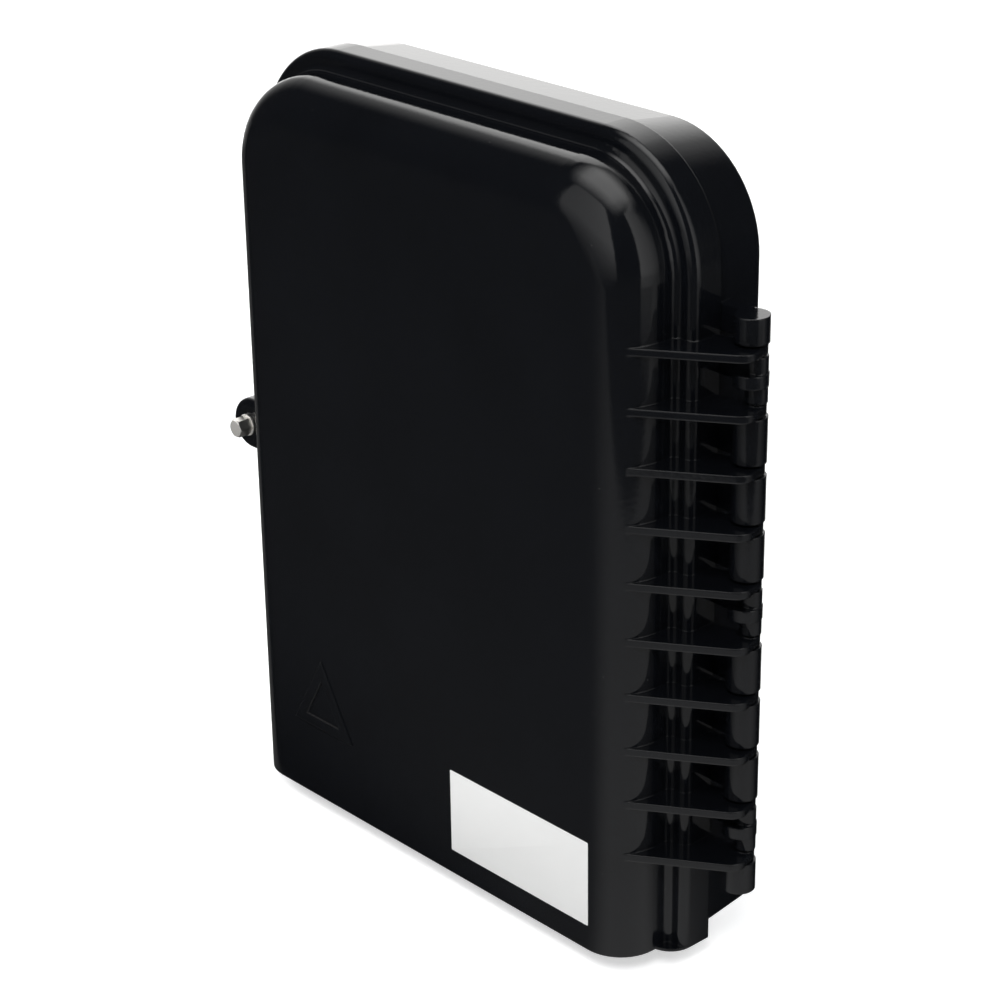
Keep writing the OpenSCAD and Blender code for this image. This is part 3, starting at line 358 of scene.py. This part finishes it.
def finish(name, colour, roughness, grain=900, depth=0.02, tone=0.12, metal=0.0, edge=0.0003):
    """A finish with a wandering tone and gloss, a fine grain, and edges that catch the light."""
    material = bpy.data.materials.new(name)
    material.use_nodes = True
    tree = material.node_tree
    shader = tree.nodes["Principled BSDF"]
    shader.inputs["Metallic"].default_value = metal
    mix = tree.nodes.new("ShaderNodeMix")
    mix.data_type = "RGBA"
    mix.inputs["A"].default_value = (*[c * (1 - tone) for c in colour], 1)
    mix.inputs["B"].default_value = (*[min(1, c * (1 + tone)) for c in colour], 1)
    tree.links.new(wandering(tree, scale=22, low=0, high=1, detail=4), mix.inputs["Factor"])
    tree.links.new(mix.outputs["Result"], shader.inputs["Base Color"])
    gloss = wandering(tree, scale=35, low=roughness * 0.85, high=roughness * 1.15, detail=3)
    tree.links.new(gloss, shader.inputs["Roughness"])
    worn_edge = tree.nodes.new("ShaderNodeBevel")
    worn_edge.samples = 6
    worn_edge.inputs["Radius"].default_value = edge
    bump = tree.nodes.new("ShaderNodeBump")
    bump.inputs["Strength"].default_value = depth
    bump.inputs["Distance"].default_value = 0.001
    tree.links.new(worn_edge.outputs["Normal"], bump.inputs["Normal"])
    tree.links.new(wandering(tree, scale=grain, low=0, high=1), bump.inputs["Height"])
    tree.links.new(bump.outputs["Normal"], shader.inputs["Normal"])
    return material


def add_dust(material):
    """Sparse pale specks of dust, each a fraction of a millimetre wide."""
    tree = material.node_tree
    shader = tree.nodes["Principled BSDF"]
    place = tree.nodes.new("ShaderNodeTexCoord")
    cells = tree.nodes.new("ShaderNodeTexVoronoi")
    cells.inputs["Scale"].default_value = 95
    tree.links.new(place.outputs["Object"], cells.inputs["Vector"])
    speck = ramp(tree, cells.outputs["Distance"], 0.010, 0.026, low=1, high=0, smooth=False)
    pale = tree.nodes.new("ShaderNodeMix")
    pale.data_type = "RGBA"
    pale.inputs["B"].default_value = (0.07, 0.07, 0.068, 1)
    tree.links.new(speck, pale.inputs["Factor"])
    tree.links.new(shader.inputs["Base Color"].links[0].from_socket, pale.inputs["A"])
    tree.links.new(pale.outputs["Result"], shader.inputs["Base Color"])


def paint_nodes(material, *names):
    """Gives CAD nodes a finish."""
    for name in names:
        nodes[name].data.materials.clear()
        nodes[name].data.materials.append(material)


moulding = {"colour": (0.0036, 0.0041, 0.0054), "roughness": 0.09, "grain": 420, "depth": 0.012}
black = finish("polished_black", **moulding, edge=0.001)
add_dust(black)
paint_nodes(black, "base_shell")


# Lid: one domed black moulding with ten hinge ribs, the front lock ear and its sealing tongue.
# It has the base's finish, and hangs on the base by the hinge pin.
paint_nodes(black, "lid_shell")


# Label's place: a blank white film with rounded corners, stuck low on the lid beside the hinge.
# The film is cut from sheet, so its edge is square but for a hair of rounding.
film_low, film_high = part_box("blank_label")
film_thickness = film_high.y - film_low.y
film_corner = 0.0005
bpy.ops.object.select_all(action="DESELECT")
bpy.ops.mesh.primitive_cube_add(size=1, location=(film_low + film_high) / 2)
film = bpy.context.object
film.name = "label_film"
film.scale = film_high - film_low
bpy.ops.object.transform_apply(location=True, rotation=True, scale=True)
bpy.ops.object.mode_set(mode="EDIT")
bpy.ops.mesh.select_mode(type="EDGE")
bpy.ops.mesh.select_all(action="DESELECT")
bpy.ops.object.mode_set(mode="OBJECT")
for edge in film.data.edges:
    start, end = [film.data.vertices[i].co for i in edge.vertices]
    edge.select = abs(start.y - end.y) > film_thickness / 2
bpy.ops.object.mode_set(mode="EDIT")
bpy.ops.mesh.bevel(offset=film_corner, segments=6)
bpy.ops.object.mode_set(mode="OBJECT")


def soften_edges(piece, width, segments, sharp=30, smooth=40):
    """Rounds edges that turn by over sharp degrees, and shades smooth those under smooth."""
    rounding = piece.modifiers.new("edge", "BEVEL")
    rounding.width = width
    rounding.segments = segments
    rounding.limit_method = "ANGLE"
    rounding.angle_limit = math.radians(sharp)
    bpy.ops.object.modifier_apply(modifier=rounding.name)
    bpy.ops.object.shade_smooth_by_angle(angle=math.radians(smooth))


soften_edges(film, width=0.00005, segments=2, smooth=30)
film.data.materials.append(
    finish("label_film", (0.86, 0.855, 0.84), roughness=0.42, grain=2600, depth=0.03, tone=0.012)
)
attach(film, "lid")
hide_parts("blank_label")


# Raised triangle: an empty frame that stands a little out of the lid's face, low on the lock side.
# It is moulded with the lid, so it has the lid's finish; its soft edges that face up towards the
# hinge side keep that gloss as a painted highlight, and the other soft edges are matt and greyer
# as painted shade.
triangle_middle = Vector((-0.0709, -0.0720, -0.1267))
triangle_reach = 0.024
band = 0.0055
rise = 0.0008
sunk = 0.0005
faces_front = 0.95
faces_hinge_side = 0.1
bpy.ops.object.select_all(action="DESELECT")
bpy.ops.mesh.primitive_circle_add(
    vertices=3, radius=triangle_reach, fill_type="NGON", location=triangle_middle,
    rotation=(math.radians(90), 0, 0),
)
triangle = bpy.context.object
triangle.name = "raised_triangle"
bpy.ops.object.transform_apply(location=True, rotation=True, scale=True)
bpy.ops.object.mode_set(mode="EDIT")
bpy.ops.mesh.select_mode(type="FACE")
bpy.ops.mesh.select_all(action="SELECT")
bpy.ops.mesh.inset(thickness=band)
bpy.ops.mesh.delete(type="FACE")
bpy.ops.mesh.select_all(action="SELECT")
bpy.ops.transform.translate(value=(0, sunk, 0))
bpy.ops.mesh.extrude_region_move(TRANSFORM_OT_translate={"value": (0, -rise - sunk, 0)})
bpy.ops.mesh.select_all(action="SELECT")
bpy.ops.mesh.normals_make_consistent(inside=False)
bpy.ops.object.mode_set(mode="OBJECT")
soften_edges(triangle, width=0.0006, segments=5)
triangle.data.materials.append(finish("raised_black", **moulding, edge=0))
# The matt, greyer edge finish is painted shade on the edges that face away from the light.
triangle.data.materials.append(finish("matt_painted_shade_edge", (0.014, 0.014, 0.0145), roughness=0.5, edge=0))
# Each face's finish is picked by which way it faces: gloss on the flat faces and on those facing
# up and to the hinge side, a painted highlight; matt on the rest, painted shade.
for face in triangle.data.polygons:
    flat = abs(face.normal.y) > faces_front
    lit_side_painted_highlight = face.normal.x > faces_hinge_side and face.normal.z > faces_hinge_side
    face.material_index = 0 if flat or lit_side_painted_highlight else 1
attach(triangle, "lid")


# Gasket: a loop of foam rubber in the groove of the base's rim, rounded where the tongue presses.
# It is cut from cord, so it has a fine open grain and no gloss.
gasket_low, gasket_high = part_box("rim_gasket")
gasket_size = gasket_high - gasket_low
gasket_middle = (gasket_low + gasket_high) / 2
gasket_w = 0.0038
gasket_corner = 0.0482
bpy.ops.object.select_all(action="DESELECT")
bpy.ops.mesh.primitive_plane_add(size=1, rotation=(math.radians(90), 0, 0))
gasket = bpy.context.object
gasket.name = "foam_gasket"
gasket.scale = (gasket_size.x, gasket_size.z, 1)
gasket.location = (gasket_middle.x, gasket_high.y, gasket_middle.z)
bpy.ops.object.transform_apply(location=True, rotation=True, scale=True)
bpy.ops.object.mode_set(mode="EDIT")
bpy.ops.mesh.select_mode(type="VERT")
bpy.ops.object.mode_set(mode="OBJECT")
for vertex in gasket.data.vertices:
    vertex.select = vertex.co.z > 0
for part in [*gasket.data.edges, *gasket.data.polygons]:
    part.select = False
bpy.ops.object.mode_set(mode="EDIT")
bpy.ops.mesh.bevel(offset=gasket_corner, segments=24, affect="VERTICES")
bpy.ops.mesh.select_all(action="SELECT")
bpy.ops.mesh.select_mode(type="FACE")
bpy.ops.mesh.inset(thickness=gasket_w)
bpy.ops.mesh.delete(type="FACE")
bpy.ops.mesh.select_all(action="SELECT")
bpy.ops.mesh.extrude_region_move(TRANSFORM_OT_translate={"value": (0, -gasket_size.y, 0)})
bpy.ops.mesh.select_all(action="SELECT")
bpy.ops.mesh.normals_make_consistent(inside=False)
bpy.ops.object.mode_set(mode="OBJECT")
soften_edges(gasket, width=0.0008, segments=4, sharp=60)
gasket.data.materials.append(
    finish("foam_rubber", (0.045, 0.045, 0.048), roughness=0.9, grain=1500, depth=0.5, tone=0.25)
)
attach(gasket, "base")
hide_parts("rim_gasket")


# Hinge pins: a long one through the lid's eyes and the base's knuckles, and a short one at each of
# the tray's eyes. They are drawn steel wire, ground bright, with a fine grain.
drawn_steel = finish(
    "drawn_steel", (0.55, 0.56, 0.57), roughness=0.28, grain=1400, depth=0.05, metal=1.0
)
paint_nodes(drawn_steel, "hinge_pin", "tray_pins")


# Lock: a zinc-plated hexagon bolt with its washer in the lid's ear, held there by a nylon ring.
# It screws into a brass insert in the base's ear.
zinc = finish(
    "bright_zinc", (0.86, 0.84, 0.80), roughness=0.33, grain=1100, depth=0.02, tone=0.06, metal=1.0
)
brass = finish("turned_brass", (0.76, 0.6, 0.3), roughness=0.3, grain=1200, depth=0.05, metal=1.0)
nylon = finish("natural_nylon", (0.8, 0.79, 0.75), roughness=0.45, depth=0.03, tone=0.04)
paint_nodes(zinc, "lock_bolt", "lock_washer")
paint_nodes(nylon, "bolt_retainer")
paint_nodes(brass, "lock_insert")


# Tray: one off-white moulding on its own hinge, with rings for spare fibre; the spools match it.
# It carries two blue combs and a splitter in a satin aluminium tube, pressed into its clips.
tray_plastic = finish(
    "tray_plastic", (0.80, 0.80, 0.77), roughness=0.38, grain=700, depth=0.03, tone=0.02
)
comb_plastic = finish("comb_plastic", (0.035, 0.10, 0.33), roughness=0.35, depth=0.03, tone=0.08)
satin_aluminium = finish(
    "satin_aluminium", (0.75, 0.77, 0.79), roughness=0.35, grain=1600, depth=0.08, tone=0.05,
    metal=1.0,
)
paint_nodes(tray_plastic, "swing_tray", "fibre_spool_left", "fibre_spool_right")
paint_nodes(comb_plastic, "splice_comb_1", "splice_comb_2")
paint_nodes(satin_aluminium, "splitter_module")


# Adapters: green square-ended adapters through a powder-coated panel, with pale dust caps.
# The panel stands on the tray, held by two zinc screws.
powder_coat = finish(
    "powder_coat", (0.72, 0.73, 0.74), roughness=0.5, grain=1900, depth=0.25, tone=0.03
)
adapter_green = finish("adapter_green", (0.015, 0.30, 0.105), roughness=0.3, depth=0.03, tone=0.06)
cap_plastic = finish("cap_plastic", (0.82, 0.83, 0.83), roughness=0.32, depth=0.03, tone=0.02)
paint_nodes(powder_coat, "adapter_panel")
paint_nodes(adapter_green, *[f"sc_adapter_{number}" for number in range(1, 9)])
paint_nodes(cap_plastic, "dust_caps_front", "dust_caps_rear")
paint_nodes(zinc, "panel_screws")


# Cable clamps: black nylon saddles and zinc-plated straps for the feeder cables.
# They sit on pillars in the base, and zinc-plated screws hold them down.
black_nylon = finish(
    "black_nylon", (0.018, 0.018, 0.019), roughness=0.45, grain=1300, depth=0.08, tone=0.15
)
paint_nodes(black_nylon, "cable_clamp_1", "cable_clamp_2")
paint_nodes(zinc, "clamp_screws", "strength_clamp_1", "strength_clamp_2", "strength_screws")


# Cable entries: two nylon glands with rubber seals, and a row of rubber grommets beside them.
# The glands are held by their locknuts inside the base, and the grommets by their own lips.
rubber = finish(
    "black_rubber", (0.022, 0.022, 0.023), roughness=0.7, grain=1500, depth=0.12, tone=0.15
)
for number in (1, 2):
    paint_nodes(
        black_nylon, f"gland_body_{number}", f"gland_locknut_{number}", f"gland_nut_{number}"
    )
    paint_nodes(rubber, f"gland_seal_{number}")
paint_nodes(rubber, *[f"drop_grommet_{number}" for number in range(1, 9)])
